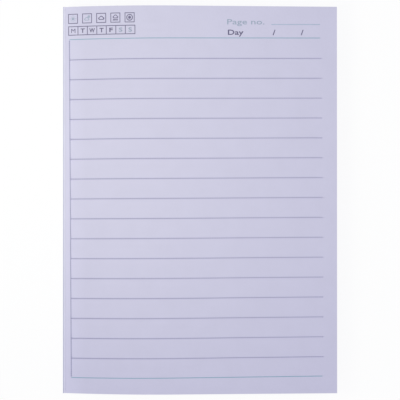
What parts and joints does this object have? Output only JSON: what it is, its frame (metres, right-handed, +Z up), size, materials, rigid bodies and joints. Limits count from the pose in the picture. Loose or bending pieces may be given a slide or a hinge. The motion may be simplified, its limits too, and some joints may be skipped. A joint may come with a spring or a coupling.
{
  "type": "undated planner",
  "caption": "Soft-covered, glue-bound pocket planner lying open at its first ruled page, with the front cover folded round behind the block.",
  "frame": {"origin": "middle of the footprint, on the surface that the planner lies on", "axes": "+X from the bound edge to the fore-edge, +Y from the foot of the page to its head, +Z up out of the page"},
  "size_m": [0.105, 0.148, 0.0127],
  "materials": {
    "page_paper": "uncoated writing paper with a lavender cast",
    "cover_card": "matt card, plain",
    "binding_glue": "hot-melt glue",
    "dark_ink": "printed ink, purple-grey",
    "teal_ink": "printed ink, pale teal"
  },
  "bodies": {
    "block": {"pages": "page_paper", "spine_glue": "binding_glue", "back_cover": "cover_card", "writing_lines": "dark_ink", "frame_lines": "teal_ink", "weather_boxes": "dark_ink", "fair_weather_signs": "teal_ink", "dull_weather_signs": "dark_ink", "day_boxes": "dark_ink", "number_line": "teal_ink", "date_strokes": "dark_ink"},
    "hinge_strip": {"cover_hinge": "cover_card"},
    "cover": {"front_cover": "cover_card"}
  },
  "joints": [
    {"name": "cover_swing", "type": "hinge", "parent": "block", "child": "hinge_strip", "pos_m": [-0.05233, 0, 0.0094], "axis": [0, 1, 0], "range_deg": [0, 246.08]},
    {"name": "cover_crease", "type": "hinge", "parent": "hinge_strip", "child": "cover", "pos_m": [-0.05233, 0, 0.00015], "axis": [0, 1, 0], "range_deg": [0, 113.92]}
  ],
  "couplings": [
    {"joint": "cover_crease", "follows": "cover_swing", "ratio": 0.46293}
  ]
}
